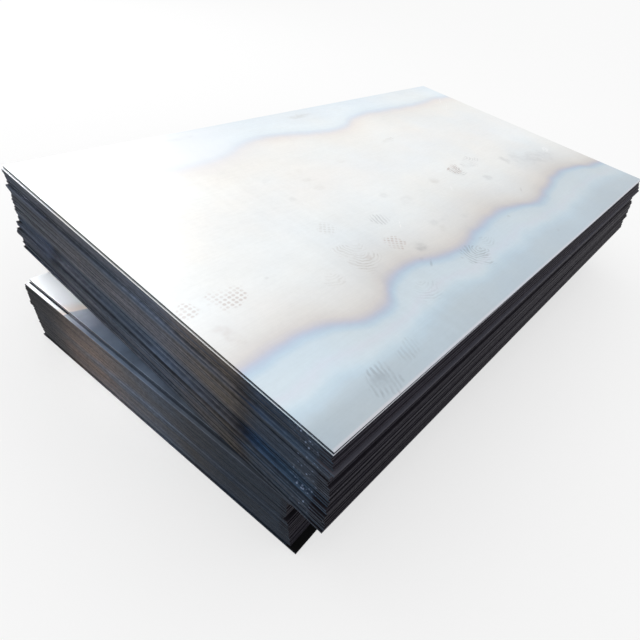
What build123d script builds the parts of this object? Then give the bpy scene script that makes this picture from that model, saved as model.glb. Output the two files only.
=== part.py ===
from build123d import *
import os

# A stack of hot-rolled steel plates in two bundles, millimetres, +Z up.
# The long side of the upper plates lies along X and the stack stands on Z = 0.
# Every plate is a solid of its own. The plates are not quite flat, as rolled,
# so that a hair of air stays between one and the next.

# Plate formats: 8 x 5 feet above, 8 x 4 feet below
plate_length = 2438
plate_width = 1524
lower_plate_width = 1219
lowest_plate_width = 1250
plate_thickness = 8
air_gap = 0.3

# Sheared edge of a plate: rolled over above, tapered break below
roll_over_radius = 1.6
break_depth = 0.9
break_height = 3.2

# How far a plate may slide from its place in the bundle, and how far it may turn
slip_reach = 20
turn_reach = 0.15

# The lower bundle lies askew under the upper one
lower_turn = 4
lower_shift_x = -27
lower_shift_y = 40

# Hand-chosen slips, one entry for each plate from the top one down, in rows of eight.
# Along X a negative share stands out at the end of the stack that the photo shows,
# along Y at its long side.
upper_slip_x_shares = (
    0, -0.2, -0.2, -0.15, -0.1, -0.1, -0.15, -0.45,
    -0.4, -0.2, -0.05, 0.05, 0.15, 0.15, 0.1, 0.05,
    0, 0.05, 0, -0.05, 0, 0.05, 0.2, 0.1,
    0.1, -0.3, -0.3, 0, -0.45, -0.55, -0.6, -0.3,
    0, 0, -0.05, -0.15, 0.2, 0.1, -0.1,
)
upper_slip_y_shares = (
    0, 0.1, 0.15, 0, -0.15, -0.3, -0.45, -0.85,
    -0.3, -0.15, -0.15, -0.1, -0.05, 0, 0.05, 0.05,
    -0.35, -0.45, -0.45, -0.55, -0.55, -0.5, -0.55, -0.55,
    -0.6, -0.6, -0.8, -0.85, -0.7, -0.65, -0.6, -0.6,
    -0.6, -0.65, -0.75, -0.8, -0.75, -0.6, -0.5,
)
upper_turn_shares = (
    0, 1, 0.3, -0.2, 0.4, -0.3, 0.1, 0.3,
    -0.4, 0.2, 0.5, -0.3, -0.1, 0.4, -0.5, 0.2,
    0.3, -0.4, 0.1, 0.5, -0.2, -0.4, 0.3, 0.1,
    -0.5, 0.4, 0.2, -0.3, 0.6, 0.3, -0.2, 0.5,
    -0.4, 0.2, -0.1, 0.3, -0.5, 0.1, 0.4,
)
lower_slip_x_shares = (
    0, -0.8, -0.75, -0.75, -0.75, -0.7, -0.65, -0.65,
    -0.6, -0.6, -0.55, -0.5, -0.45, -0.45, -0.45, -0.45,
    -0.4, -0.4, -0.4, -0.35, -0.35, -0.3, -0.3, -0.25,
    -0.2, -0.15, -0.1, -0.05, 0, 0.05,
)
lower_slip_y_shares = (
    0, -0.2, 0.3, 0.35, 0.4, 0.4, 0.35, 0.4,
    0.4, 0.35, 0.4, 0.45, 0.9, 0.85, 0.1, 0,
    -0.1, -0.1, -0.2, -0.2, -0.25, -0.3, -0.3, -0.35,
    -0.4, -0.35, -0.4, -0.45, -0.5, -0.5,
)
lower_turn_shares = (
    0, 0.3, -0.2, 0.1, 0.3, -0.3, 0.2, -0.1,
    0.4, -0.2, 0.1, -0.4, 0.5, 0.2, -0.3, 0.1,
    0.4, -0.1, -0.4, 0.2, 0.3, -0.2, 0.1, -0.3,
    0.4, 0.1, -0.2, 0.3, -0.1, 0.2,
)
lowest_slip_x_share = -0.1
lowest_slip_y_share = -1

plate_pitch = plate_thickness + air_gap
plates_with_own_node = 2
plates_per_node = 4
upper_count = len(upper_slip_x_shares)
lower_count = len(lower_slip_x_shares)


def sheared_plate(width):
    """One plate standing on Z = 0 with the rolled and broken edge of a shear cut."""
    low_middle = (Align.CENTER, Align.CENTER, Align.MIN)
    blank = Box(plate_length, width, plate_thickness, align=low_middle)
    upper_face = blank.faces().sort_by(Axis.Z)[-1]
    rolled = fillet(upper_face.edges(), roll_over_radius)
    lower_face = rolled.faces().sort_by(Axis.Z)[0]
    return chamfer(lower_face.edges(), break_depth, break_height, reference=lower_face)


def lay_bundle(plate, levels_below, slip_x_shares, slip_y_shares, turn_shares):
    """Copies of one plate, the top one first, above as many levels as named."""
    count = len(slip_x_shares)
    laid = []
    for index in range(count):
        level = levels_below + count - index - 1
        slide_x = slip_x_shares[index] * slip_reach
        slide_y = slip_y_shares[index] * slip_reach
        turn = turn_shares[index] * turn_reach
        place = Pos(slide_x, slide_y, level * plate_pitch) * Rot(0, 0, turn)
        laid.append(place * plate)
    return laid


upper_bundle = lay_bundle(
    sheared_plate(plate_width),
    lower_count + 1,
    upper_slip_x_shares,
    upper_slip_y_shares,
    upper_turn_shares,
)
lower_bundle = lay_bundle(
    sheared_plate(lower_plate_width),
    1,
    lower_slip_x_shares,
    lower_slip_y_shares,
    lower_turn_shares,
)
lowest_slide_x = lowest_slip_x_share * slip_reach
lowest_slide_y = lowest_slip_y_share * slip_reach
lowest_plate = Pos(lowest_slide_x, lowest_slide_y, 0) * sheared_plate(lowest_plate_width)

# The lower bundle is turned and shifted as a whole
askew = Pos(lower_shift_x, lower_shift_y, 0) * Rot(0, 0, lower_turn)
lower_bundle = [askew * plate for plate in lower_bundle]
lowest_plate = askew * lowest_plate

# The plates seen from above have nodes of their own, and the rest share nodes by fours
nodes = {
    "upper_top_plate": upper_bundle[:1],
    "upper_second_plate": upper_bundle[1:2],
    "upper_bottom_plate": upper_bundle[-1:],
    "lower_top_plate": lower_bundle[:1],
    "lower_second_plate": lower_bundle[1:2],
    "lowest_plate": [lowest_plate],
}
for bundle_name, bundle in (("upper", upper_bundle[:-1]), ("lower", lower_bundle)):
    for start in range(plates_with_own_node, len(bundle), plates_per_node):
        end = min(start + plates_per_node, len(bundle))
        nodes[f"{bundle_name}_plates_{start + 1:02d}_to_{end:02d}"] = bundle[start:end]

# The origin is the middle of the whole stack at floor height
stack_box = Compound(upper_bundle + lower_bundle + [lowest_plate]).bounding_box()
to_middle = Pos(-stack_box.center().X, -stack_box.center().Y, 0)

os.makedirs("parts", exist_ok=True)
for name, plates in nodes.items():
    export_step(to_middle * Compound(plates), f"parts/{name}.step")
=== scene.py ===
import math

import bmesh
import bpy
from bpy.props import FloatProperty, FloatVectorProperty, PointerProperty
from mathutils import Matrix, Vector


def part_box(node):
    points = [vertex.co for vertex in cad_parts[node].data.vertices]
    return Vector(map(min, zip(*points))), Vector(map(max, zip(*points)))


bl_info = {
    "name": "Steel plate stack",
    "version": (1, 0, 0),
    "blender": (4, 5, 0),
    "location": "3D Viewport > Sidebar > Plate stack",
    "description": "Finishes for two bundles of hot-rolled steel plates, and their stage",
    "category": "Object",
}

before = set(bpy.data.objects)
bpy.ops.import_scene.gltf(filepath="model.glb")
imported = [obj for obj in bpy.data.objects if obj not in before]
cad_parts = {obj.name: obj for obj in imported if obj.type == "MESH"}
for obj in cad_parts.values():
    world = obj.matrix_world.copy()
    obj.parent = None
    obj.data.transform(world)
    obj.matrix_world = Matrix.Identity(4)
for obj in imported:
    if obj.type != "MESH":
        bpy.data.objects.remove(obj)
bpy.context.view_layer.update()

TOP_LOW, TOP_HIGH = (Vector(corner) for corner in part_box("upper_top_plate"))
LOWER_LOW, LOWER_HIGH = (Vector(corner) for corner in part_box("lower_top_plate"))
SECOND_HIGH = Vector(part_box("upper_second_plate")[1])
PLATE_LENGTH = TOP_HIGH.x - TOP_LOW.x
PLATE_PITCH = TOP_HIGH.z - SECOND_HIGH.z
OWN_FINISH = ("upper_top_plate", "upper_second_plate")
UPPER_NODES = sorted(
    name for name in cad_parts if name.startswith("upper") and name not in OWN_FINISH)
LOWER_NODES = sorted(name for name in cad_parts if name.startswith("lower_plates"))

# The plate that stands out on the near long side has a pale upper rim
PLATES_ABOVE_PALE_RIM = 7
PALE_RIM = TOP_HIGH.z - PLATES_ABOVE_PALE_RIM * PLATE_PITCH
PALE_RIM_REACH = 0.002
# The painted shadow strip on the second lower plate's ledge, just beyond the end of the plate
# above, counted from the middle of the lower bundle
LEDGE_SHADOW_X = -PLATE_LENGTH / 2 - 0.003
LEDGE_SHADOW_REACH = 0.0032

# The camera's place from the top plate's near corner, and how it is turned
CAMERA_PLACE = (-0.563, -0.3796, 0.976)
CAMERA_RIGHT = (0.59208, -0.78022, 0.20175)
CAMERA_UP = (0.35534, 0.47745, 0.8036)
CAMERA_SHIFT = (-0.1395, -0.0885)
SENSOR_WIDTH = 36
FARTHEST_SEEN = 200

# The lamps: size, place and aim in metres, and the spread in degrees
KEY_SIZE = (3.5, 2.5)
KEY_PLACE = (-0.4, 5.2, 3.4)
KEY_AIM = (-0.9, 0.6, TOP_HIGH.z)
CORNER_SIZE = (0.2, 0.2)
CORNER_PLACE = (-1.6, 2.95, 2.06)
CORNER_AIM = (-1.18, 0.5, LOWER_HIGH.z)
CORNER_SPREAD = 8
FULL_SPREAD = 180
FLOOR_GLOW = 0.6

# A surface that looks up or down at least this steeply belongs to a plate's faces, and any
# other to its cuts
FACE_ABOVE = 0.35
FACE_BELOW = -0.9

# Where most of a noise's values lie
NOISE_LOW, NOISE_HIGH = 0.3, 0.7

# How often the patterns on the cuts repeat along X and Y, to the metre, and along Z or from
# plate to plate
END_LINES = (1.4, 1.4, 3.7)
END_CLOUDS = (2.8, 2.8, 9)
END_GRAIN = (60, 60, 130)
SIDE_PATCHES = (0.8, 0.8, 2.9)
SIDE_GRAIN = (50, 50, 90)
LEDGE_PATCHES = (3, 3, 1)
SPECK_PATCHES = (24, 24, 1.3)
SPECKS = 105
# The same for the patterns of the rolled faces
BAND_WOBBLE = (9, 9)
ROLLING_STREAKS = (1.3, 26)
CROSS_RIPPLES = (30, 1.2)
SCRATCHES = (9, 170, 1)
BLOTCHES = 3
FACE_GRAIN = 70
TINT_LEANS = 2.3
SOLE_STUDS = 68
SOLE_BARS = 22
WEAR_PATCHES = 19
SCRAPE_LINES = 110
FINE_GRAIN = 260
# How far each pattern of the rolled faces moves their tone
BLOTCH_TONES = (0.975, 1.025)
STREAK_SHIFTS = (-0.008, 0.008)
GRAIN_SHIFTS = (-0.018, 0.018)
SCRATCH_SHIFTS = (-0.012, 0.012)
RIPPLE_SHIFTS = (-0.015, 0.015)
NEAR_PAINTED_GLARE = 0.13
FAR_END_DARKER = -0.016
PINK_OR_BLUE = 0.018
# Where the cross ripples are, as a share of the length
RIPPLES_ALONG = 0.24

SCRATCH_TURN = -38
STUDS_TURN, SLANT_STUDS_TURN, BARS_TURN = -4, 42, 20
# A print's arcs are rings about a point this far to its side
RING_MIDDLE_AWAY = 0.05
RING_SIDE_TURN = 50
RING_STEP = 0.0022
RINGS_REACH = 80
RING_BENDS = 30
RING_WOBBLE = 2.4
MARK_REACH = 2.5
MARK_RAGS = 24
MARK_WOBBLE = 0.3
# How far the least worn part of a print is weaker than the rest
WORN_SHARE = 0.2

# Speckle of the chalk near the near corner: middle as a share of the width
SPECKS_ACROSS = 0.048
# How far one plate's colour change sits from its neighbours', as a share of the width
OWN_SHIFT = 0.014
# How far the dull stripe at the near edge follows the band's start, and where that usually is
STRIPE_FOLLOWS = 0.35
USUAL_BAND = 0.19
# The shader's fixed values
SPECULAR_LEVEL = 0.06
BUMP_STRENGTH = 0.12
BUMP_DISTANCE = 0.0004
FACE_ROUGHNESS_SPREAD = 0.05
EDGE_ROUGHNESS_SPREAD = 0.08


def paint(red, green, blue):
    """A screen colour from 0 to 255, as the linear value that Blender's colour fields hold."""
    linear = []
    for level in (red, green, blue):
        share = level / 255
        linear.append(share / 12.92 if share <= 0.04045 else ((share + 0.055) / 1.055) ** 2.4)
    return tuple(linear)


# Heat tint of a rolled face: metres inside the start of the blue band, and the colour
# there, at the near long side and at the paler far one.
NEAR_TINT = (
    (-0.33, (190, 202, 210)),
    (-0.22, (196, 207, 215)),
    (-0.16, (200, 212, 220)),
    (-0.09, (204, 215, 222)),
    (-0.045, (201, 213, 221)),
    (-0.025, (189, 206, 219)),
    (-0.01, (184, 197, 213)),
    (0.002, (190, 194, 208)),
    (0.014, (200, 198, 203)),
    (0.034, (211, 208, 206)),
    (0.075, (219, 218, 216)),
    (0.14, (224, 225, 225)),
    (0.24, (231, 234, 235)),
    (0.42, (239, 241, 241)),
)
FAR_TINT = (
    (-0.3, (226, 234, 240)),
    (-0.17, (232, 239, 244)),
    (-0.09, (236, 243, 247)),
    (-0.04, (232, 240, 245)),
    (-0.018, (224, 232, 240)),
    (0.0, (225, 228, 234)),
    (0.02, (234, 231, 231)),
    (0.045, (239, 236, 233)),
    (0.09, (241, 240, 237)),
    (0.2, (241, 242, 241)),
    (0.42, (240, 241, 241)),
)

# How the near blue band dulls to slate toward the near long edge: share of the width, colour
NEAR_EDGE_TINT = (
    (0.0, (184, 196, 205)),
    (0.056, (186, 199, 208)),
    (0.072, (188, 204, 215)),
    (0.086, (194, 210, 220)),
    (0.1, (204, 216, 224)),
    (0.118, (206, 213, 222)),
    (0.14, (203, 215, 222)),
)

# How the sheared ends change colour from the near corner to the far one, on their greyer
# rows and on their bluer ones: share of the width, colour. The lower plates come after the upper.
UPPER_GREY_ROWS = (
    (0.0, (44, 50, 59)),
    (0.1, (47, 53, 62)),
    (0.165, (50, 55, 62)),
    (0.19, (58, 56, 57)),
    (0.225, (76, 70, 64)),
    (0.31, (80, 76, 75)),
    (0.42, (77, 79, 87)),
    (0.56, (76, 77, 84)),
    (0.7, (75, 75, 80)),
    (0.82, (66, 68, 75)),
    (1.0, (57, 61, 69)),
)
UPPER_BLUE_ROWS = (
    (0.0, (42, 55, 70)),
    (0.08, (36, 55, 75)),
    (0.155, (25, 48, 75)),
    (0.18, (16, 27, 44)),
    (0.2, (24, 25, 30)),
    (0.225, (56, 57, 63)),
    (0.31, (64, 70, 82)),
    (0.42, (70, 82, 100)),
    (0.56, (68, 78, 93)),
    (0.7, (64, 70, 82)),
    (0.785, (54, 60, 73)),
    (0.81, (32, 35, 43)),
    (0.84, (46, 56, 76)),
    (1.0, (48, 58, 73)),
)
LOWER_GREY_ROWS = (
    (0.0, (29, 37, 47)),
    (0.19, (34, 39, 46)),
    (0.31, (48, 48, 49)),
    (0.44, (65, 67, 72)),
    (0.56, (80, 78, 80)),
    (0.69, (98, 87, 82)),
    (0.81, (92, 80, 74)),
    (0.88, (64, 60, 60)),
    (0.93, (48, 48, 50)),
    (1.0, (46, 46, 48)),
)
LOWER_BLUE_ROWS = (
    (0.0, (32, 40, 50)),
    (0.19, (38, 48, 62)),
    (0.31, (54, 60, 70)),
    (0.44, (70, 80, 96)),
    (0.56, (77, 84, 97)),
    (0.69, (87, 87, 94)),
    (0.81, (78, 75, 76)),
    (0.93, (46, 47, 51)),
    (1.0, (46, 47, 51)),
)

# Scale darkened as a painted shadow on the lower bundle's visible rim, from the near corner to
# the bright far one: share of the width, colour
RIM_SCALE_AND_SHADOW = (
    (0.0, (68, 74, 84)),
    (0.3, (94, 102, 114)),
    (0.42, (106, 118, 136)),
    (0.6, (112, 127, 148)),
    (0.7, (126, 138, 156)),
    (0.76, (150, 157, 172)),
    (0.8, (178, 186, 198)),
)

# How light the ends are from the bundle's lowest plate up to its top one: share of the bundle's
# height, tone
UPPER_END_TONES = (
    (0.0, 0.6), (0.07, 0.76), (0.13, 0.76), (0.18, 0.98), (0.24, 0.95), (0.28, 0.72),
    (0.32, 0.82), (0.36, 1.02), (0.41, 0.88), (0.5, 0.96), (0.6, 1.02), (0.68, 0.94),
    (0.73, 1.12), (0.765, 0.9), (0.82, 1.08), (0.87, 1.0), (0.91, 1.04), (1.0, 0.96),
)
LOWER_END_TONES = (
    (0.0, 1.0), (0.3, 0.98), (0.43, 1.0), (0.455, 0.74), (0.48, 0.8), (0.5, 1.16), (0.53, 1.0),
    (0.8, 1.0), (1.0, 0.92),
)
# How blue the rows of the ends are over the same heights
UPPER_BLUES = (
    (0.0, 0.35), (0.06, 0.5), (0.12, 0.3), (0.19, 0.2), (0.24, 0.5), (0.3, 0.8), (0.38, 0.95),
    (0.45, 0.9), (0.49, 0.3), (0.55, 0.1), (0.64, 0.1), (0.69, 0.3), (0.72, 0.8), (0.77, 1.0),
    (0.81, 0.55), (0.87, 0.35), (1.0, 0.45),
)
LOWER_BLUES = (
    (0.0, 0.6), (0.16, 0.55), (0.27, 0.15), (0.36, 0.2), (0.43, 0.7), (0.5, 1.0), (0.56, 0.5),
    (0.68, 0.35), (0.82, 0.3), (1.0, 0.45),
)

# Half the tone of the long sides over the upper bundle's height, lifted just under the plate that
# stands out as painted light that fills the shadow of its overhang
SIDE_TONES_WITH_PAINTED_FILL = (
    (0.0, 0.41), (0.3, 0.43), (0.5, 0.47), (0.6, 0.52), (0.66, 0.66), (0.7, 0.76),
    (0.795, 0.74), (0.81, 0.66), (1.0, 0.66),
)

# Where the blue bands start, as shares of the plate's length and width
NEAR_BAND_SHARES = (
    (0, 0.2), (0.1, 0.195), (0.16, 0.152), (0.195, 0.158), (0.235, 0.203), (0.275, 0.212),
    (0.37, 0.176), (0.46, 0.196), (0.54, 0.21), (0.6, 0.19), (0.65, 0.165), (0.72, 0.188),
    (0.81, 0.217), (0.88, 0.213), (0.95, 0.175), (1, 0.162),
)
FAR_BAND_SHARES = (
    (0, 0.21), (0.12, 0.16), (0.2, 0.19), (0.28, 0.175), (0.33, 0.14), (0.38, 0.13),
    (0.43, 0.143), (0.5, 0.175), (0.56, 0.18), (0.62, 0.135), (0.66, 0.123), (0.74, 0.132),
    (0.86, 0.14), (0.95, 0.13), (1, 0.137),
)

# Shoe prints and smudges on the top plate: centre in metres from the near corner, half size
# in metres, turn in degrees, tread, colour and strength.
RUST = paint(150, 108, 92)
MUD = paint(138, 124, 108)
GREY = paint(118, 122, 130)
DARK = paint(60, 56, 62)
SHOE_PRINTS = (
    ((0.143, 0.540), (0.054, 0.054), 4, "dots", RUST, 1.0),
    ((0.026, 0.560), (0.030, 0.034), 4, "dots", RUST, 0.9),
    ((0.058, 0.424), (0.026, 0.050), 8, "smudge", RUST, 0.55),
    ((0.428, 0.417), (0.034, 0.034), 20, "arcs", MUD, 0.35),
    ((0.590, 0.492), (0.062, 0.040), -20, "arcs", MUD, 0.6),
    ((0.585, 0.420), (0.066, 0.050), 15, "arcs", MUD, 0.8),
    ((0.612, 0.432), (0.020, 0.014), 35, "smudge", RUST, 0.7),
    ((0.757, 0.432), (0.044, 0.036), 42, "slant dots", RUST, 1.1),
    ((0.815, 0.360), (0.036, 0.034), 35, "smudge", GREY, 1.0),
    ((0.836, 0.568), (0.046, 0.036), -20, "bars", GREY, 0.8),
    ((0.621, 0.640), (0.038, 0.036), 42, "slant dots", MUD, 0.45),
    ((0.950, 0.205), (0.062, 0.064), -35, "arcs", GREY, 1.5),
    ((0.944, 0.238), (0.014, 0.014), 0, "smudge", DARK, 0.5),
    ((1.070, 0.225), (0.034, 0.036), 40, "arcs", GREY, 0.4),
    ((0.629, 0.196), (0.054, 0.050), 20, "arcs", GREY, 0.45),
    ((0.372, 0.078), (0.050, 0.030), 10, "bars", GREY, 0.5),
    ((0.755, 0.314), (0.014, 0.009), 30, "smudge", DARK, 1.0),
    ((0.762, 0.278), (0.026, 0.006), 40, "smudge", DARK, 0.7),
    ((0.279, 0.546), (0.009, 0.009), 0, "smudge", DARK, 0.5),
    ((1.000, 0.430), (0.040, 0.024), 10, "smudge", GREY, 0.35),
    ((1.040, 0.600), (0.060, 0.030), 30, "smudge", GREY, 0.25),
    ((1.304, 0.646), (0.036, 0.030), 30, "smudge", MUD, 0.6),
    ((1.473, 0.678), (0.024, 0.008), 20, "smudge", RUST, 2.2),
    ((1.496, 0.640), (0.056, 0.046), 25, "arcs", GREY, 1.0),
    ((1.650, 0.668), (0.076, 0.044), 15, "arcs", GREY, 0.6),
    ((1.580, 0.515), (0.034, 0.030), 50, "smudge", GREY, 0.8),
    ((1.865, 0.572), (0.032, 0.046), 0, "smudge", GREY, 0.9),
    ((1.960, 0.560), (0.090, 0.070), 0, "smudge", GREY, 0.35),
    ((2.080, 0.500), (0.200, 0.080), -5, "smudge", GREY, 0.45),
    ((1.503, 0.660), (0.050, 0.034), 30, "bars", RUST, 1.1),
    ((1.465, 1.040), (0.050, 0.022), 10, "arcs", MUD, 0.5),
    ((0.843, 1.016), (0.030, 0.022), 20, "smudge", MUD, 0.3),
    ((0.813, 0.935), (0.026, 0.020), 0, "smudge", MUD, 0.3),
    ((0.670, 1.016), (0.028, 0.020), 40, "smudge", GREY, 0.3),
    ((0.813, 0.864), (0.030, 0.022), 10, "smudge", MUD, 0.3),
    ((0.660, 0.853), (0.026, 0.020), 25, "smudge", GREY, 0.3),
    ((1.067, 0.985), (0.030, 0.020), 0, "smudge", MUD, 0.3),
    ((0.995, 0.681), (0.028, 0.022), 30, "smudge", GREY, 0.35),
    ((1.067, 0.427), (0.032, 0.022), 20, "smudge", GREY, 0.4),
    ((0.995, 0.386), (0.028, 0.020), 45, "smudge", MUD, 0.4),
    ((1.158, 0.386), (0.030, 0.022), 15, "smudge", GREY, 0.35),
    ((0.400, 1.370), (0.026, 0.070), -28, "arcs", MUD, 0.55),
    ((1.330, 0.270), (0.012, 0.010), 0, "smudge", DARK, 0.6),
    ((1.620, 0.356), (0.030, 0.008), 35, "smudge", DARK, 0.5),
    ((1.420, 0.078), (0.022, 0.012), 20, "smudge", DARK, 0.35),
    ((0.238, 0.058), (0.056, 0.050), 25, "bars", GREY, 1.0),
    ((0.232, 0.060), (0.040, 0.034), 25, "smudge", GREY, 0.9),
    ((0.226, 0.050), (0.020, 0.014), 25, "smudge", DARK, 0.8),
    ((0.600, 1.468), (0.080, 0.020), 0, "smudge", MUD, 0.35),
    ((1.250, 1.452), (0.090, 0.026), 0, "smudge", MUD, 0.6),
)

# Pale scrapes: centre in metres from the near corner, half length and half width, turn in degrees
SCRAPES = (
    ((1.319, 0.560), (0.036, 0.006), 42),
    ((2.260, 0.520), (0.050, 0.030), 30),
    ((2.300, 1.290), (0.070, 0.006), 40),
    ((2.240, 1.200), (0.120, 0.004), 35),
    ((0.870, 0.500), (0.030, 0.004), 45),
)


class PlateFinishProperties(bpy.types.PropertyGroup):
    # The long edges' charcoal scale is darkened further by painted shade
    long_edge_scale_and_shade: FloatVectorProperty(
        name="Long edge", description="Charcoal scale on the long edges", subtype="COLOR",
        size=3, min=0, max=1, default=paint(43, 41, 48))
    long_edge_far_scale_and_shade: FloatVectorProperty(
        name="Long edge, far end", description="Charcoal scale on the long edges at their far end",
        subtype="COLOR", size=3, min=0, max=1, default=paint(55, 53, 59))
    ledge: FloatVectorProperty(
        name="Ledge", description="Slate scale on the rims of the plates inside a bundle",
        subtype="COLOR", size=3, min=0, max=1, default=paint(74, 80, 93))
    # The lowest margin's black is dirty scale darkened further as a painted shadow
    lowest_dirt_and_shadow: FloatVectorProperty(
        name="Lowest margin", description="Black scale on the lowest plate's margin",
        subtype="COLOR", size=3, min=0, max=1, default=paint(17, 17, 18))
    face_roughness: FloatProperty(
        name="Face roughness", description="Roughness of the rolled faces", subtype="FACTOR",
        min=0, max=1, default=0.42)
    face_sheen: FloatProperty(
        name="Face sheen", description="How metallic the rolled faces are", subtype="FACTOR",
        min=0, max=1, default=0.75)
    edge_roughness: FloatProperty(
        name="Edge roughness", description="Roughness of the cut edges", subtype="FACTOR",
        min=0, max=1, default=0.6)
    print_strength: FloatProperty(
        name="Shoe prints", description="How far the shoe prints darken the top plate",
        subtype="FACTOR", min=0, max=1, default=0.3)
    lower_turn: FloatProperty(
        name="Lower turn", description="How far the lower bundle is turned", subtype="ANGLE",
        default=math.radians(4))
    lower_width: FloatProperty(
        name="Lower width", description="Width of the lower bundle's plates", unit="LENGTH",
        min=0, default=1.219)


class StageProperties(bpy.types.PropertyGroup):
    floor_colour: FloatVectorProperty(
        name="Floor", description="Colour of the floor", subtype="COLOR", size=3, min=0, max=1,
        default=(0.9, 0.9, 0.9))
    floor_reach: FloatProperty(
        name="Floor reach", description="Half the side of the floor", unit="LENGTH", min=1,
        default=60)
    sky_strength: FloatProperty(
        name="Sky", description="Strength of the even light from all round", min=0, default=0.97)
    key_power: FloatProperty(
        name="Key light", description="Power of the broad light behind the stack", unit="POWER",
        min=0, default=50)
    corner_power: FloatProperty(
        name="Corner light", description="Power of the narrow light on the lower far corner",
        unit="POWER", min=0, default=0.13)
    lens: FloatProperty(
        name="Lens", description="Focal length on a 36 mm sensor", unit="CAMERA", min=1,
        default=29.23)


def feed(tree, socket, value):
    """Links a socket to another, or sets it to a plain value."""
    if isinstance(value, bpy.types.NodeSocket):
        tree.links.new(value, socket)
    elif value is not None:
        socket.default_value = value


def calculate(tree, operation, *values):
    node = tree.nodes.new("ShaderNodeMath")
    node.operation = operation
    for socket, value in zip(node.inputs, values):
        feed(tree, socket, value)
    return node.outputs["Value"]


def remap(tree, value, low, high, new_low=0.0, new_high=1.0, smooth=False):
    node = tree.nodes.new("ShaderNodeMapRange")
    node.interpolation_type = "SMOOTHSTEP" if smooth else "LINEAR"
    for name, part in zip(("Value", "From Min", "From Max", "To Min", "To Max"),
                          (value, low, high, new_low, new_high)):
        feed(tree, node.inputs[name], part)
    return node.outputs["Result"]


def vary(tree, noise, low, high):
    """A noise stretched from a low value to a high one."""
    return remap(tree, noise, NOISE_LOW, NOISE_HIGH, low, high)


def blend_colour(tree, factor, first, second, mode="MIX"):
    node = tree.nodes.new("ShaderNodeMix")
    node.data_type = "RGBA"
    node.blend_type = mode
    node.clamp_factor = True
    feed(tree, node.inputs[0], factor)
    for socket, colour in ((node.inputs[6], first), (node.inputs[7], second)):
        feed(tree, socket, colour if isinstance(colour, bpy.types.NodeSocket) else (*colour, 1.0))
    return node.outputs[2]


def combine(tree, x, y, z):
    node = tree.nodes.new("ShaderNodeCombineXYZ")
    for socket, value in zip(node.inputs, (x, y, z)):
        feed(tree, socket, value)
    return node.outputs["Vector"]


def stretched(tree, space, scales):
    """Coordinates over a face, for a pattern that repeats so often to the metre along X and Y."""
    x = calculate(tree, "MULTIPLY", space.x, scales[0])
    y = calculate(tree, "MULTIPLY", space.y, scales[1])
    return combine(tree, x, y, 0)


def turned(tree, space, turn, scales=(1, 1, 1)):
    """Coordinates over a face, turned by so many degrees and scaled."""
    mapping = tree.nodes.new("ShaderNodeMapping")
    mapping.inputs["Rotation"].default_value = (0, 0, math.radians(turn))
    mapping.inputs["Scale"].default_value = scales
    tree.links.new(space.flat, mapping.inputs["Vector"])
    return mapping.outputs["Vector"]


def cloud(tree, vector, scale=1.0, detail=2.0, roughness=0.5):
    node = tree.nodes.new("ShaderNodeTexNoise")
    feed(tree, node.inputs["Vector"], vector)
    feed(tree, node.inputs["Scale"], scale)
    feed(tree, node.inputs["Detail"], detail)
    feed(tree, node.inputs["Roughness"], roughness)
    return node.outputs["Fac"]


def patches(tree, vector, scales, detail=2.0):
    """Soft patches, as many to the metre along each axis as the scales say."""
    mapping = tree.nodes.new("ShaderNodeMapping")
    mapping.inputs["Scale"].default_value = scales
    tree.links.new(vector, mapping.inputs["Vector"])
    return cloud(tree, mapping.outputs["Vector"], 1, detail)


def chance(tree, value):
    """A random number from 0 to 1 that belongs to a value."""
    node = tree.nodes.new("ShaderNodeTexWhiteNoise")
    node.noise_dimensions = "1D"
    feed(tree, node.inputs["W"], value)
    return node.outputs["Value"]


def weigh(tree, *parts):
    """The sum of values, each times its weight."""
    total = 0.0
    for value, weight in parts:
        total = calculate(tree, "MULTIPLY_ADD", value, weight, total)
    return total


def total(tree, first, *others):
    for value in others:
        first = calculate(tree, "ADD", first, value)
    return first


def product(tree, first, *others):
    for value in others:
        first = calculate(tree, "MULTIPLY", first, value)
    return first


def toned(tree, colour, tone, lean=None):
    """A colour made lighter or darker, where a tone of 1 leaves it as it is, and leaning to pink
    or to blue."""
    node = tree.nodes.new("ShaderNodeCombineColor")
    red = tone if lean is None else calculate(tree, "ADD", tone, lean)
    blue = tone if lean is None else calculate(tree, "SUBTRACT", tone, lean)
    for socket, value in zip(node.inputs, (red, tone, blue)):
        feed(tree, socket, value)
    return blend_colour(tree, 1.0, colour, node.outputs["Color"], "MULTIPLY")


def colour_scale(tree, value, steps):
    """Screen colours over shares from 0 to 1."""
    node = tree.nodes.new("ShaderNodeValToRGB")
    node.color_ramp.interpolation = "LINEAR"
    elements = node.color_ramp.elements
    while len(elements) < len(steps):
        elements.new(1.0)
    for element, (place, colour) in zip(elements, steps):
        element.position = place
        element.color = (*paint(*colour), 1.0)
    feed(tree, node.inputs["Fac"], value)
    return node.outputs["Color"]


def wavy_line(tree, value, points):
    """A smooth curve through given points over shares from 0 to 1, with values from 0 to 1."""
    node = tree.nodes.new("ShaderNodeFloatCurve")
    curve = node.mapping.curves[0]
    while len(curve.points) < len(points):
        curve.points.new(0.5, 0.5)
    for point, (along, height) in zip(curve.points, points):
        point.location = (along, height)
        point.handle_type = "AUTO"
    node.mapping.update()
    feed(tree, node.inputs["Value"], value)
    return node.outputs["Value"]


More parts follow.
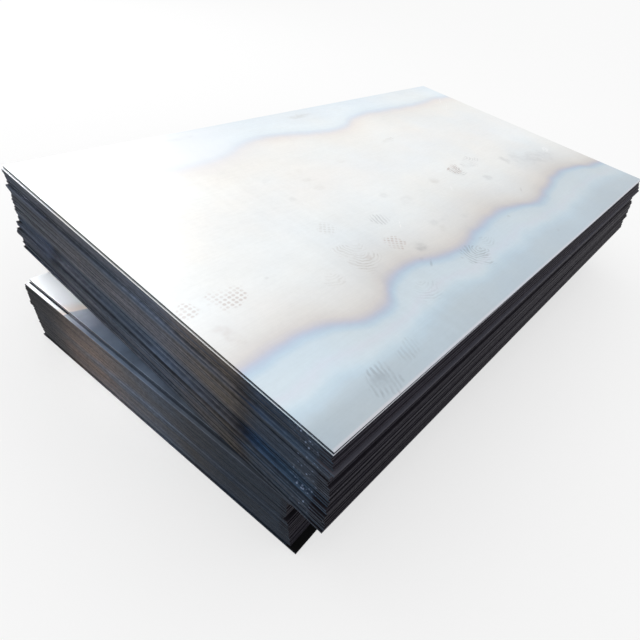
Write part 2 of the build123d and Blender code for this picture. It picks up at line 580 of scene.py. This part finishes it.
class PlateSpace:
    """Coordinates that a plate's finish is drawn in: shares along and across the bundle,
    the plate's number from the floor, and which way the surface faces."""

    def __init__(self, tree, centre, length, width, turn):
        self.length = length
        self.width = width
        texture = tree.nodes.new("ShaderNodeTexCoord")
        mapping = tree.nodes.new("ShaderNodeMapping")
        mapping.vector_type = "TEXTURE"
        mapping.inputs["Location"].default_value = (centre.x, centre.y, 0)
        mapping.inputs["Rotation"].default_value = (0, 0, turn)
        tree.links.new(texture.outputs["Object"], mapping.inputs["Vector"])
        self.vector = mapping.outputs["Vector"]
        parts = tree.nodes.new("ShaderNodeSeparateXYZ")
        tree.links.new(self.vector, parts.inputs["Vector"])
        self.x, self.y, self.z = parts.outputs
        self.along = calculate(tree, "ADD", calculate(tree, "DIVIDE", self.x, length), 0.5)
        self.across = calculate(tree, "ADD", calculate(tree, "DIVIDE", self.y, width), 0.5)
        self.level = calculate(tree, "FLOOR", calculate(tree, "DIVIDE", self.z, PLATE_PITCH))
        self.flat = combine(tree, self.x, self.y, 0)
        self.strata = combine(tree, self.x, self.y, self.level)
        facing = tree.nodes.new("ShaderNodeSeparateXYZ")
        tree.links.new(texture.outputs["Normal"], facing.inputs["Vector"])
        toward_end = calculate(tree, "ABSOLUTE", facing.outputs["X"])
        toward_side = calculate(tree, "ABSOLUTE", facing.outputs["Y"])
        upward = facing.outputs["Z"]
        # The rolled-over rim above belongs to the face, the tapered break below to the cut
        above = calculate(tree, "GREATER_THAN", upward, FACE_ABOVE)
        below = calculate(tree, "LESS_THAN", upward, FACE_BELOW)
        self.is_face = calculate(tree, "MAXIMUM", above, below)
        self.is_end = calculate(tree, "GREATER_THAN", toward_end, toward_side)


def heat_tint(tree, space):
    """Colour of a rolled face: grey in the middle, and tan, violet and blue where bands start."""
    wobble = vary(tree, cloud(tree, stretched(tree, space, BAND_WOBBLE), 1, 3), -0.006, 0.006)
    near_band = wavy_line(tree, space.along, NEAR_BAND_SHARES)
    far_band = wavy_line(tree, space.along, FAR_BAND_SHARES)
    from_far = calculate(tree, "SUBTRACT", 1.0, space.across)
    sides = ((space.across, near_band, NEAR_TINT), (from_far, far_band, FAR_TINT))
    colours = []
    for from_side, band, tint in sides:
        inside = calculate(tree, "SUBTRACT", from_side, band)
        inside = calculate(tree, "ADD", calculate(tree, "MULTIPLY", inside, space.width), wobble)
        low, high = tint[0][0], tint[-1][0]
        steps = [((place - low) / (high - low), colour) for place, colour in tint]
        colours.append(colour_scale(tree, remap(tree, inside, low, high), steps))
    far_share = remap(tree, space.across, 0.42, 0.62, smooth=True)
    colour = blend_colour(tree, far_share, *colours)
    # Toward the near long edge the blue dulls to slate, in a soft stripe that follows the band
    followed = weigh(tree, (near_band, -STRIPE_FOLLOWS), (space.across, 1), (wobble, 1.6))
    stripe = calculate(tree, "ADD", followed, STRIPE_FOLLOWS * USUAL_BAND)
    dull = remap(tree, stripe, 0.115, 0.15, 1, 0, smooth=True)
    dull = product(tree, dull, remap(tree, space.along, 0, 1, 0.95, 0.5))
    colour = blend_colour(tree, dull, colour, colour_scale(tree, stripe, NEAR_EDGE_TINT))
    from_edge = calculate(tree, "MULTIPLY", space.across, space.width)
    rim = remap(tree, from_edge, 0.003, 0.011, 0.45, 0, smooth=True)
    return blend_colour(tree, rim, colour, paint(224, 218, 224))


def reach_from(tree, space, centre, half_size, turn, farthest=MARK_REACH, start=MARK_REACH):
    """How far a point is from a mark's centre, up to a farthest reach: 1 at the mark's edge.
    The start is the farthest reach too, or that with a wobble added."""
    mapping = tree.nodes.new("ShaderNodeMapping")
    mapping.vector_type = "TEXTURE"
    x, y = centre[0] - space.length / 2, centre[1] - space.width / 2
    mapping.inputs["Location"].default_value = (x, y, 0)
    mapping.inputs["Rotation"].default_value = (0, 0, math.radians(turn))
    mapping.inputs["Scale"].default_value = (half_size[0] * farthest, half_size[1] * farthest, 1)
    tree.links.new(space.flat, mapping.inputs["Vector"])
    round_gradient = tree.nodes.new("ShaderNodeTexGradient")
    round_gradient.gradient_type = "SPHERICAL"
    tree.links.new(mapping.outputs["Vector"], round_gradient.inputs["Vector"])
    return calculate(tree, "MULTIPLY_ADD", round_gradient.outputs["Fac"], -farthest, start)


def tread_dots(tree, space, turn):
    """Round studs of a shoe sole, all over the plate."""
    flat = turned(tree, space, turn)
    dots = tree.nodes.new("ShaderNodeTexVoronoi")
    dots.inputs["Randomness"].default_value = 0.15
    dots.inputs["Scale"].default_value = SOLE_STUDS
    tree.links.new(flat, dots.inputs["Vector"])
    return remap(tree, dots.outputs["Distance"], 0.22, 0.5, 1, 0, smooth=True)


def tread_bars(tree, space, turn):
    """Bent bars of a shoe sole, all over the plate."""
    flat = turned(tree, space, turn)
    bars = tree.nodes.new("ShaderNodeTexWave")
    bars.inputs["Scale"].default_value = SOLE_BARS
    bars.inputs["Distortion"].default_value = 2.5
    bars.inputs["Detail"].default_value = 1.0
    bars.inputs["Detail Scale"].default_value = 1.5
    tree.links.new(flat, bars.inputs["Vector"])
    return vary(tree, bars.outputs["Fac"], 0, 1)


def shoe_print(tree, space, shared, centre, half_size, turn, tread, strength):
    """How much one shoe print marks the surface."""
    reach = reach_from(tree, space, centre, half_size, turn, start=shared["ragged start"])
    if tread == "smudge":
        return remap(tree, reach, 0.2, 1.1, strength, 0, smooth=True)
    mark = remap(tree, reach, 0.8, 1.1, strength, 0, smooth=True)
    if tread == "arcs":
        # Rings about a point to one side of the print
        side = math.radians(turn + RING_SIDE_TURN)
        x = centre[0] + RING_MIDDLE_AWAY * math.cos(side)
        y = centre[1] + RING_MIDDLE_AWAY * math.sin(side)
        step = (RING_STEP, RING_STEP)
        rings = reach_from(tree, space, (x, y), step, 0, RINGS_REACH, shared["bent start"])
        pattern = remap(tree, calculate(tree, "SINE", rings), -0.4, 0.7)
    else:
        pattern = shared[tread]
    return calculate(tree, "MULTIPLY", mark, pattern)


def end_cut(tree, space, upper):
    """Streaked slate, blue and taupe of the cuts across the plates' ends."""
    own = chance(tree, space.level)
    # The lower bundle's streaks are weaker
    calm = 1.0 if upper else 0.6
    lines = patches(tree, space.strata, END_LINES, 3)
    clouds = patches(tree, space.vector, END_CLOUDS, 3)
    grain = patches(tree, space.vector, END_GRAIN, 4)
    low, high = (LOWER_HIGH.z, TOP_HIGH.z) if upper else (0, LOWER_HIGH.z)
    height = remap(tree, space.z, low, high)
    # Each plate's colour change sits a little off its neighbours'
    shifted = calculate(tree, "ADD", space.across, remap(tree, own, 0, 1, -OWN_SHIFT, OWN_SHIFT))
    grey = colour_scale(tree, shifted, UPPER_GREY_ROWS if upper else LOWER_GREY_ROWS)
    blue = colour_scale(tree, shifted, UPPER_BLUE_ROWS if upper else LOWER_BLUE_ROWS)
    blueness = weigh(tree, (wavy_line(tree, height, UPPER_BLUES if upper else LOWER_BLUES), 1),
                     (lines, 2.0 * calm), (clouds, 2.6 - calm))
    colour = blend_colour(tree, calculate(tree, "SUBTRACT", blueness, 1.3 + 0.5 * calm), grey, blue)
    tone = product(
        tree,
        remap(tree, own, 0, 1, 1 - 0.27 * calm, 1 + 0.27 * calm),
        vary(tree, lines, 1 + 0.3 * calm, 1 - 0.3 * calm),
        vary(tree, clouds, 1.12, 0.88),
        vary(tree, grain, 0.76, 1.24),
    )
    # The upper part of a shear cut is smooth and a little paler than the torn part below it
    within = calculate(tree, "FRACT", calculate(tree, "DIVIDE", space.z, PLATE_PITCH))
    ragged = calculate(tree, "ADD", within, vary(tree, grain, -0.08, 0.08))
    torn_tone, smooth_tone = 1 - 0.26 * calm ** 3, 1 + 0.16 * calm ** 3
    tone = product(tree, tone, remap(tree, ragged, 0.1, 0.5, torn_tone, smooth_tone))
    # A curve holds values up to 1, so the tones go in halved and come out doubled
    tones = UPPER_END_TONES if upper else LOWER_END_TONES
    halved = [(place, value / 2) for place, value in tones]
    tone = product(tree, tone, wavy_line(tree, height, halved), 2)
    if upper:
        return chalk_specks(tree, space, toned(tree, colour, tone))
    # The lamp on the far corner brightens the plates just under it, so they are painted darker
    # there: painted shade that offsets the lamp
    lamp_offset_shade = product(tree, remap(tree, height, 0.6, 0.72), remap(tree, space.across, 0.7, 0.85))
    return toned(tree, colour, product(tree, tone, remap(tree, lamp_offset_shade, 0, 1, 1, 0.68)))


def chalk_specks(tree, space, colour):
    """Whitish specks on the ends near the near corner."""
    speck = tree.nodes.new("ShaderNodeTexVoronoi")
    speck.inputs["Scale"].default_value = SPECKS
    tree.links.new(space.vector, speck.inputs["Vector"])
    spot = remap(tree, speck.outputs["Distance"], 0.18, 0.42, 1, 0)
    zone = calculate(tree, "ABSOLUTE", calculate(tree, "SUBTRACT", space.across, SPECKS_ACROSS))
    zone = remap(tree, zone, 0.01, 0.04, 1, 0, smooth=True)
    some = remap(tree, patches(tree, space.strata, SPECK_PATCHES), 0.5, 0.6, 0, 0.5)
    return blend_colour(tree, product(tree, spot, zone, some), colour, paint(150, 166, 196))


def side_cut(tree, space, upper):
    """Charcoal of the cuts along the plates, and of the rims beside them, darkened by painted
    shade.
    """
    finish = bpy.context.scene.plate_finish
    colour = blend_colour(tree, space.along, finish.long_edge_scale_and_shade, finish.long_edge_far_scale_and_shade)
    tone = product(
        tree,
        vary(tree, patches(tree, space.strata, SIDE_PATCHES), 0.88, 1.12),
        vary(tree, patches(tree, space.vector, SIDE_GRAIN, 4), 0.86, 1.14),
    )
    if upper:
        # The plates are paler at the top and darker at the bottom, and paler still just under the
        # one that stands out: painted light that fills the shadow of its overhang
        height = remap(tree, space.z, LOWER_HIGH.z, TOP_HIGH.z)
        tone = product(tree, tone, wavy_line(tree, height, SIDE_TONES_WITH_PAINTED_FILL), 2)
    return toned(tree, colour, tone)


def plate_steel(name, space_of, face_of, upper=True):
    """One material for plates: a rolled face with its tint, and cut edges."""
    finish = bpy.context.scene.plate_finish
    material = bpy.data.materials.new(name)
    material.use_nodes = True
    tree = material.node_tree
    shader = tree.nodes["Principled BSDF"]
    space = space_of(tree)
    ends, sides = end_cut(tree, space, upper), side_cut(tree, space, upper)
    face, face_rough, sheen = face_of(tree, space, ends, sides)
    edge = blend_colour(tree, space.is_end, sides, ends)
    colour = blend_colour(tree, space.is_face, edge, face)
    feed(tree, shader.inputs["Base Color"], colour)
    grain = cloud(tree, space.vector, FINE_GRAIN, 3, 0.6)
    edge_rough = vary(tree, grain, finish.edge_roughness - EDGE_ROUGHNESS_SPREAD,
                      finish.edge_roughness + EDGE_ROUGHNESS_SPREAD)
    feed(tree, shader.inputs["Roughness"], mix_value(tree, space.is_face, edge_rough, face_rough))
    feed(tree, shader.inputs["Metallic"], mix_value(tree, space.is_face, 0.0, sheen))
    shader.inputs["Specular IOR Level"].default_value = SPECULAR_LEVEL
    bump = tree.nodes.new("ShaderNodeBump")
    bump.inputs["Strength"].default_value = BUMP_STRENGTH
    bump.inputs["Distance"].default_value = BUMP_DISTANCE
    feed(tree, bump.inputs["Height"], grain)
    feed(tree, shader.inputs["Normal"], bump.outputs["Normal"])
    return material


def mix_value(tree, factor, first, second):
    node = tree.nodes.new("ShaderNodeMix")
    for place, value in ((0, factor), (2, first), (3, second)):
        feed(tree, node.inputs[place], value)
    return node.outputs[0]


def upper_space(tree):
    middle = (TOP_LOW + TOP_HIGH) / 2
    return PlateSpace(tree, middle, PLATE_LENGTH, TOP_HIGH.y - TOP_LOW.y, 0)


def lower_space(tree):
    finish = bpy.context.scene.plate_finish
    middle = (LOWER_LOW + LOWER_HIGH) / 2
    return PlateSpace(tree, middle, PLATE_LENGTH, finish.lower_width, finish.lower_turn)


def rolled_face(tree, space, marks=(), scrapes=()):
    """Tint, faint rolling streaks, stains and shoe prints of a rolled face, with its roughness
    and sheen."""
    finish = bpy.context.scene.plate_finish
    colour = heat_tint(tree, space)
    streaks = cloud(tree, stretched(tree, space, ROLLING_STREAKS), 1, 3, 0.6)
    ripple = cloud(tree, stretched(tree, space, CROSS_RIPPLES), 1, 2)
    blotch = cloud(tree, space.vector, BLOTCHES, 4, 0.55)
    fine = cloud(tree, space.vector, FACE_GRAIN, 3, 0.65)
    scratches = cloud(tree, turned(tree, space, SCRATCH_TURN, SCRATCHES), 1, 2)
    # Cross ripples at a quarter of the length
    off_ripples = calculate(tree, "SUBTRACT", space.along, RIPPLES_ALONG)
    rippled = remap(tree, calculate(tree, "ABSOLUTE", off_ripples), 0.02, 0.13, 1, 0, smooth=True)
    # The near side is paler toward the left end, though not at its very edge: a painted highlight
    # of glare
    pale = product(
        tree,
        remap(tree, space.along, 0, 0.22, NEAR_PAINTED_GLARE, 0),
        remap(tree, space.across, 0.035, 0.08, -0.5, 1, smooth=True),
        remap(tree, space.across, 0.3, 0.45, 1, 0, smooth=True),
    )
    # The far end is a little darker
    darker = remap(tree, space.along, 0.6, 0.8, 0, FAR_END_DARKER, smooth=True)
    level = total(
        tree,
        vary(tree, streaks, *STREAK_SHIFTS),
        vary(tree, blotch, *BLOTCH_TONES),
        vary(tree, fine, *GRAIN_SHIFTS),
        vary(tree, scratches, *SCRATCH_SHIFTS),
        product(tree, vary(tree, ripple, *RIPPLE_SHIFTS), rippled),
        darker,
        pale,
    )
    # Large patches lean to blue or to pink
    leaning = cloud(tree, space.flat, TINT_LEANS, 3)
    lean = remap(tree, leaning, 0.35, 0.65, -PINK_OR_BLUE, PINK_OR_BLUE)
    colour = toned(tree, colour, level, lean)
    # The far band's tint is washed to near-white toward the left end: a painted highlight of glare
    painted_glare = product(
        tree,
        remap(tree, space.along, 0.2, 0.42, 0.75, 0, smooth=True),
        remap(tree, space.across, 0.72, 0.86, 0, 1, smooth=True),
    )
    colour = blend_colour(tree, painted_glare, colour, paint(241, 243, 246))
    mean = total(tree, product(tree, streaks, 0.5), product(tree, fine, 0.5))
    rough = vary(tree, mean, finish.face_roughness - FACE_ROUGHNESS_SPREAD,
                 finish.face_roughness + FACE_ROUGHNESS_SPREAD)
    if marks:
        shared = {
            "ragged start": vary(tree, cloud(tree, space.flat, MARK_RAGS, 3),
                                 MARK_REACH - MARK_WOBBLE, MARK_REACH + MARK_WOBBLE),
            "bent start": vary(tree, cloud(tree, space.flat, RING_BENDS, 2),
                               RINGS_REACH - RING_WOBBLE, RINGS_REACH + RING_WOBBLE),
            "dots": tread_dots(tree, space, STUDS_TURN),
            "slant dots": tread_dots(tree, space, SLANT_STUDS_TURN),
            "bars": tread_bars(tree, space, BARS_TURN),
        }
        strongest = finish.print_strength
        wear = cloud(tree, space.flat, WEAR_PATCHES, 3)
        worn = remap(tree, wear, 0.36, 0.6, WORN_SHARE * strongest, strongest)
        # Marks of one stain are gathered first, so that only the strongest one colours a spot
        for stain in (MUD, GREY, RUST, DARK):
            gathered = 0.0
            for centre, half_size, turn, tread, own_stain, strength in marks:
                if own_stain == stain:
                    mark = shoe_print(tree, space, shared, centre, half_size, turn, tread, strength)
                    gathered = calculate(tree, "MAXIMUM", mark, gathered)
            colour = blend_colour(tree, calculate(tree, "MULTIPLY", gathered, worn), colour, stain)
    if scrapes:
        gathered = 0.0
        for centre, half_size, turn in scrapes:
            reach = reach_from(tree, space, centre, half_size, turn)
            scrape = remap(tree, reach, 0.4, 1, 0.6, 0, smooth=True)
            gathered = calculate(tree, "MAXIMUM", scrape, gathered)
        lines = remap(tree, cloud(tree, space.flat, SCRAPE_LINES, 2), 0.42, 0.58)
        scraped = calculate(tree, "MULTIPLY", gathered, lines)
        colour = blend_colour(tree, scraped, colour, paint(250, 250, 250))
    return colour, rough, finish.face_sheen


def plain_face(tree, space, ends, sides):
    return rolled_face(tree, space)


def marked_face(tree, space, ends, sides):
    return rolled_face(tree, space, SHOE_PRINTS, SCRAPES)


def slate_face(tree, space, ends, sides):
    """Dark scale on the rims that show between the plates of a bundle, much like the cuts beside
    them, with painted shade toward the far long side."""
    finish = bpy.context.scene.plate_finish
    patch = patches(tree, space.strata, LEDGE_PATCHES, 3)
    # Darker toward the far long side: painted shade that offsets the lamps' light on these rims
    far_side_painted_shade = remap(tree, space.across, 0.78, 0.92, 1, 0.55)
    colour = toned(tree, ends, product(tree, vary(tree, patch, 0.6, 2.1), far_side_painted_shade))
    colour = blend_colour(tree, 0.2, colour, finish.ledge)
    pale = calculate(tree, "COMPARE", space.z, PALE_RIM, PALE_RIM_REACH)
    side = blend_colour(tree, product(tree, pale, 0.8), sides, paint(86, 86, 96))
    from_far = calculate(tree, "SUBTRACT", 1, space.across)
    from_side = calculate(tree, "MINIMUM", space.across, from_far)
    beside = remap(tree, from_side, 0.018, 0.03, 1, 0, smooth=True)
    colour = blend_colour(tree, beside, colour, toned(tree, side, 0.74))
    return colour, vary(tree, patch, 0.5, 0.6), 0.2


def lower_face(tree, space, ends, sides):
    """The lower bundle's top face: bright at its far corner, blue slate scale darkened as a painted
    shadow along the rest of the rim."""
    colour, rough, sheen = rolled_face(tree, space)
    scale_and_shadow = colour_scale(tree, space.across, RIM_SCALE_AND_SHADOW)
    patch = vary(tree, cloud(tree, space.vector, 14, 3), 0.8, 1.2)
    scale_and_shadow = toned(tree, scale_and_shadow, patch)
    # The scale and its painted shadow start at a slanting, slightly ragged line
    slope = 0.35
    rags = cloud(tree, space.vector, 30, 2)
    slant = weigh(tree, (space.x, slope), (rags, 0.02), (space.across, 1))
    corner = 0.82 - slope * space.length / 2
    start = remap(tree, slant, corner - 0.004, corner + 0.004, 1, 0, smooth=True)
    tan = remap(tree, slant, corner, corner + 0.05, 0.5, 0, smooth=True)
    colour = blend_colour(tree, tan, colour, paint(236, 212, 194))
    colour = blend_colour(tree, start, colour, scale_and_shadow)
    # The second plate's ledge is painted dark beside the top plate's end: a painted shadow of the
    # plate above
    beside = calculate(tree, "COMPARE", space.x, LEDGE_SHADOW_X, LEDGE_SHADOW_REACH)
    beside = product(tree, beside, mix_value(tree, start, 1.0, 0.7))
    colour = blend_colour(tree, beside, colour, paint(40, 44, 54))
    return colour, rough, mix_value(tree, start, sheen, 0.3)


def shadowed_black_face(tree, space, ends, sides):
    """Black on the margin of the lowest plate that stands out at its long side: dirty scale,
    darkened further as a painted shadow.
    """
    finish = bpy.context.scene.plate_finish
    patch = cloud(tree, space.vector, 9, 3)
    colour = toned(tree, finish.lowest_dirt_and_shadow, vary(tree, patch, 0.7, 1.3))
    colour = blend_colour(tree, remap(tree, space.across, 0, 0.004), colour, ends)
    return colour, vary(tree, patch, 0.6, 0.75), 0.0


def give_finish(node_names, material):
    """Puts a material in the slots of CAD nodes."""
    for name in node_names:
        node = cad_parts[name]
        if not node.material_slots:
            node.data.materials.append(material)
        for slot in node.material_slots:
            slot.material = material


class STACK_OT_top_plate(bpy.types.Operator):
    """Give the top plate its heat tint, stains and shoe prints"""
    bl_idname = "stack.top_plate"
    bl_label = "Top plate"

    def execute(self, context):
        give_finish(["upper_top_plate"], plate_steel("top plate steel", upper_space, marked_face))
        return {"FINISHED"}


class STACK_OT_second_plate(bpy.types.Operator):
    """Give the plate under the top one its tinted face, which shows as a bright rim"""
    bl_idname = "stack.second_plate"
    bl_label = "Second plate"

    def execute(self, context):
        material = plate_steel("second plate steel", upper_space, plain_face)
        give_finish(["upper_second_plate"], material)
        return {"FINISHED"}


class STACK_OT_upper_plates(bpy.types.Operator):
    """Give the rest of the upper bundle its streaked edges"""
    bl_idname = "stack.upper_plates"
    bl_label = "Upper plates"

    def execute(self, context):
        give_finish(UPPER_NODES, plate_steel("upper plates steel", upper_space, slate_face))
        return {"FINISHED"}


class STACK_OT_lower_top_plates(bpy.types.Operator):
    """Give the two topmost plates of the lower bundle their bright corner and slate rim with its
    painted shadow
    """
    bl_idname = "stack.lower_top_plates"
    bl_label = "Lower top plates"

    def execute(self, context):
        material = plate_steel("lower top plates steel", lower_space, lower_face, upper=False)
        give_finish(["lower_top_plate", "lower_second_plate"], material)
        return {"FINISHED"}


class STACK_OT_lower_plates(bpy.types.Operator):
    """Give the rest of the lower bundle its calmer, browner ends"""
    bl_idname = "stack.lower_plates"
    bl_label = "Lower plates"

    def execute(self, context):
        material = plate_steel("lower plates steel", lower_space, slate_face, upper=False)
        give_finish(LOWER_NODES, material)
        return {"FINISHED"}


class STACK_OT_lowest_plate(bpy.types.Operator):
    """Give the wider plate on the floor its black margin of dirty scale and painted shadow"""
    bl_idname = "stack.lowest_plate"
    bl_label = "Lowest plate"

    def execute(self, context):
        material = plate_steel("lowest plate steel", lower_space, shadowed_black_face, upper=False)
        give_finish(["lowest_plate"], material)
        return {"FINISHED"}


class STACK_OT_stage(bpy.types.Operator):
    """Lay the floor, hang the lights and set the camera"""
    bl_idname = "stack.stage"
    bl_label = "Stage"

    def execute(self, context):
        stage = context.scene.plate_stage
        lay_floor(stage)
        light_scene(stage)
        set_camera(stage)
        return {"FINISHED"}


def seen_plainly(tree):
    """1 for rays from the camera, and for those that a mirror or glass sends on."""
    path = tree.nodes.new("ShaderNodeLightPath")
    ray = path.outputs
    mirrored = calculate(tree, "MAXIMUM", ray["Is Glossy Ray"], ray["Is Transmission Ray"])
    return calculate(tree, "MAXIMUM", ray["Is Camera Ray"], mirrored)


def lay_floor(stage):
    grid = bmesh.new()
    bmesh.ops.create_grid(grid, x_segments=4, y_segments=4, size=stage.floor_reach)
    mesh = bpy.data.meshes.new("floor")
    grid.to_mesh(mesh)
    grid.free()
    floor = bpy.data.objects.new("floor", mesh)
    bpy.context.collection.objects.link(floor)
    material = bpy.data.materials.new("pale floor")
    material.use_nodes = True
    tree = material.node_tree
    tree.nodes.clear()
    output = tree.nodes.new("ShaderNodeOutputMaterial")
    matt = tree.nodes.new("ShaderNodeBsdfDiffuse")
    matt.inputs["Color"].default_value = (*stage.floor_colour, 1)
    glow = tree.nodes.new("ShaderNodeEmission")
    glow.inputs["Strength"].default_value = 1.0
    blend = tree.nodes.new("ShaderNodeMixShader")
    feed(tree, blend.inputs[0], calculate(tree, "MULTIPLY", seen_plainly(tree), FLOOR_GLOW))
    tree.links.new(matt.outputs[0], blend.inputs[1])
    tree.links.new(glow.outputs[0], blend.inputs[2])
    tree.links.new(blend.outputs[0], output.inputs["Surface"])
    mesh.materials.append(material)


def light_scene(stage):
    world = bpy.data.worlds.new("even sky")
    world.use_nodes = True
    tree = world.node_tree
    background = tree.nodes["Background"]
    background.inputs["Color"].default_value = (1, 1, 1, 1)
    strength = remap(tree, seen_plainly(tree), 0, 1, stage.sky_strength, 1.0)
    feed(tree, background.inputs["Strength"], strength)
    bpy.context.scene.world = world
    hang_lamp("key", stage.key_power, KEY_SIZE, KEY_PLACE, KEY_AIM, FULL_SPREAD)
    hang_lamp("corner light", stage.corner_power, CORNER_SIZE, CORNER_PLACE, CORNER_AIM,
              CORNER_SPREAD)


def hang_lamp(name, power, size, place, aim, spread):
    """An area lamp that looks at a point."""
    lamp = bpy.data.lights.new(name, "AREA")
    lamp.spread = math.radians(spread)
    lamp.shape = "RECTANGLE"
    lamp.size, lamp.size_y = size
    lamp.energy = power
    light = bpy.data.objects.new(name, lamp)
    bpy.context.collection.objects.link(light)
    light.location = place
    light.rotation_euler = (Vector(aim) - Vector(place)).to_track_quat("-Z", "Y").to_euler()


def set_camera(stage):
    """The camera of the photograph, from the top plate's near corner."""
    corner = Vector((TOP_LOW.x, TOP_LOW.y, TOP_HIGH.z))
    camera_data = bpy.data.cameras.new("view")
    camera_data.sensor_width = SENSOR_WIDTH
    camera_data.lens = stage.lens
    camera_data.shift_x, camera_data.shift_y = CAMERA_SHIFT
    camera_data.clip_end = FARTHEST_SEEN
    camera = bpy.data.objects.new("view", camera_data)
    bpy.context.collection.objects.link(camera)
    right, up = Vector(CAMERA_RIGHT).normalized(), Vector(CAMERA_UP).normalized()
    back = right.cross(up)
    turn = Matrix((right, up, back)).transposed().to_4x4()
    camera.matrix_world = Matrix.Translation(corner + Vector(CAMERA_PLACE)) @ turn
    bpy.context.scene.camera = camera


class STACK_PT_panel(bpy.types.Panel):
    bl_label = "Plate stack"
    bl_idname = "STACK_PT_panel"
    bl_space_type = "VIEW_3D"
    bl_region_type = "UI"
    bl_category = "Plate stack"

    def draw(self, context):
        layout = self.layout
        for operator in OPERATORS:
            layout.operator(operator.bl_idname)
        for owner in (context.scene.plate_finish, context.scene.plate_stage):
            for name in owner.bl_rna.properties.keys():
                if name not in {"rna_type", "name"}:
                    layout.prop(owner, name)


OPERATORS = (
    STACK_OT_top_plate, STACK_OT_second_plate, STACK_OT_upper_plates, STACK_OT_lower_top_plates,
    STACK_OT_lower_plates, STACK_OT_lowest_plate, STACK_OT_stage,
)
CLASSES = (PlateFinishProperties, StageProperties, *OPERATORS, STACK_PT_panel)


def register():
    for item in CLASSES:
        bpy.utils.register_class(item)
    bpy.types.Scene.plate_finish = PointerProperty(type=PlateFinishProperties)
    bpy.types.Scene.plate_stage = PointerProperty(type=StageProperties)


def unregister():
    del bpy.types.Scene.plate_stage
    del bpy.types.Scene.plate_finish
    for item in reversed(CLASSES):
        bpy.utils.unregister_class(item)


def main():
    register()
    bpy.ops.stack.top_plate()
    bpy.ops.stack.second_plate()
    bpy.ops.stack.upper_plates()
    bpy.ops.stack.lower_top_plates()
    bpy.ops.stack.lower_plates()
    bpy.ops.stack.lowest_plate()
    bpy.ops.stack.stage()
    bpy.context.scene.view_settings.view_transform = "Standard"
    bpy.context.view_layer.update()


if __name__ == "__main__":
    main()
